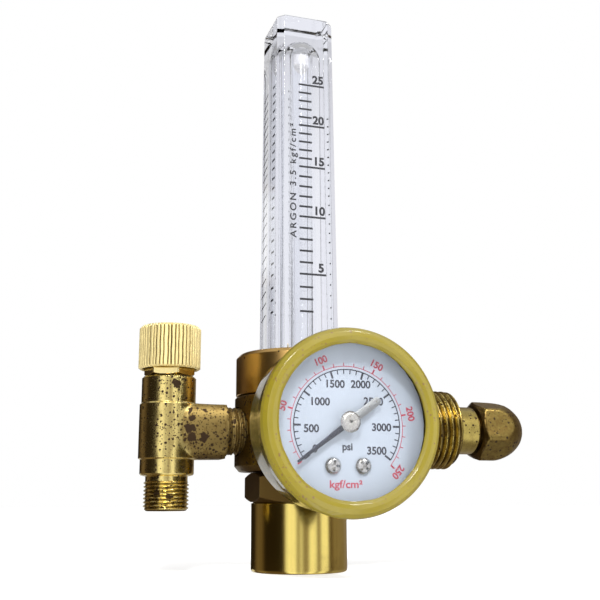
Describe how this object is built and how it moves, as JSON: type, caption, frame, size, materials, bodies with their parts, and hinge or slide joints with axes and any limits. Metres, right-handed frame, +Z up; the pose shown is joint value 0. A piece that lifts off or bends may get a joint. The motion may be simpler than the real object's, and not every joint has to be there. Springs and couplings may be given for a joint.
{
  "type": "gas regulator",
  "caption": "Brass gas regulator with a round contents gauge, a square clear flow tube, a knurled outlet needle valve and a bull-nose cylinder inlet.",
  "frame": {"origin": "centre of the bonnet's flat bottom face, on the body's vertical axis", "axes": "+Z up along the body and the flow tube; +X towards the cylinder inlet, so -X is the outlet valve; -Y is the side that the gauge faces"},
  "size_m": [0.1164, 0.0616, 0.1622],
  "materials": {
    "brass": "turned brass, lightly tarnished",
    "polished_brass": "polished turned brass with an amber cast",
    "dull_brass": "tarnished brass",
    "pale_brass": "bright knurled brass",
    "steel": "plain steel",
    "nickel": "bright nickel plate",
    "gauge_paint": "glossy olive-gold paint",
    "rubber": "black moulded rubber",
    "white_plastic": "white PTFE",
    "acrylic": "clear moulded acrylic",
    "dial_white": "satin white print on tin plate",
    "sintered_bronze": "grainy sintered bronze"
  },
  "bodies": {
    "regulator_body": {"bonnet": "brass", "preset_disc": "brass", "main_spring": "steel", "slip_ring": "steel", "diaphragm": "rubber", "body_block": "dull_brass", "nozzle_seat": "brass", "poppet_spring": "steel", "block_seal": "rubber", "upper_block": "polished_brass", "tube_fitting": "brass", "tube_washer": "rubber", "metering_tube": "acrylic", "float_stop": "rubber", "flow_cover": "acrylic", "cover_seal": "rubber", "valve_body": "brass", "valve_packing": "white_plastic", "packing_nut": "brass", "inlet_nipple": "dull_brass", "inlet_filter": "sintered_bronze", "gauge_socket": "brass", "gauge_case": "gauge_paint", "gauge_bezel": "gauge_paint", "lens_gasket": "rubber", "gauge_lens": "acrylic", "gauge_dial": "dial_white", "dial_screw_left": "nickel", "dial_screw_right": "nickel", "bourdon_tube": "brass", "bourdon_tip": "brass", "movement_back_plate": "brass", "movement_front_plate": "brass", "movement_pillar_1": "brass", "movement_pillar_2": "brass", "movement_pillar_3": "brass"},
    "valve_stem": {"valve_stem": "steel"},
    "valve_knob": {"valve_knob": "pale_brass", "knob_screw": "nickel"},
    "pointer": {"pointer": "steel", "pointer_hub": "nickel", "pointer_pinion": "brass"},
    "sector": {"sector_gear": "brass"},
    "link": {"movement_link": "brass"},
    "inlet_nut": {"inlet_nut": "brass"},
    "float": {"float_ball": "steel"},
    "regulating_stack": {"poppet": "steel", "diaphragm_plate": "brass"}
  },
  "joints": [
    {"name": "stem_lift", "type": "slide", "parent": "regulator_body", "child": "valve_stem", "axis": [0, 0, 1], "range_m": [0, 0.002]},
    {"name": "knob_turn", "type": "hinge", "parent": "valve_stem", "child": "valve_knob", "pos_m": [-0.0371, 0, 0.06], "axis": [0, 0, 1], "range_deg": [0, 900]},
    {"name": "pointer_turn", "type": "hinge", "parent": "regulator_body", "child": "pointer", "pos_m": [0, -0.0379, 0.0373], "axis": [0, 1, 0], "range_deg": [0, 252], "stiffness_Nm_per_rad": 0.001},
    {"name": "sector_turn", "type": "hinge", "parent": "regulator_body", "child": "sector", "pos_m": [0, -0.0332, 0.0245], "axis": [0, 1, 0], "range_deg": [-36.5, 0]},
    {"name": "link_turn", "type": "hinge", "parent": "sector", "child": "link", "pos_m": [0.0045, -0.032, 0.0245], "axis": [0, 1, 0], "range_deg": [0, 36.5]},
    {"name": "nut_spin", "type": "hinge", "parent": "regulator_body", "child": "inlet_nut", "pos_m": [0.035, 0, 0.0391], "axis": [1, 0, 0], "continuous": true},
    {"name": "float_rise", "type": "slide", "parent": "regulator_body", "child": "float", "axis": [0, 0, 1], "range_m": [0, 0.088]},
    {"name": "poppet_close", "type": "slide", "parent": "regulator_body", "child": "regulating_stack", "axis": [0, 0, -1], "range_m": [0, 0.0005], "stiffness_N_per_m": 20000, "springref_m": -0.0005, "deforming": ["main_spring", "poppet_spring", "diaphragm"]}
  ],
  "couplings": [
    {"joint": "knob_turn", "follows": "stem_lift", "rad_per_m": 7854},
    {"joint": "sector_turn", "follows": "pointer_turn", "ratio": -0.14286},
    {"joint": "link_turn", "follows": "pointer_turn", "ratio": 0.14286}
  ]
}
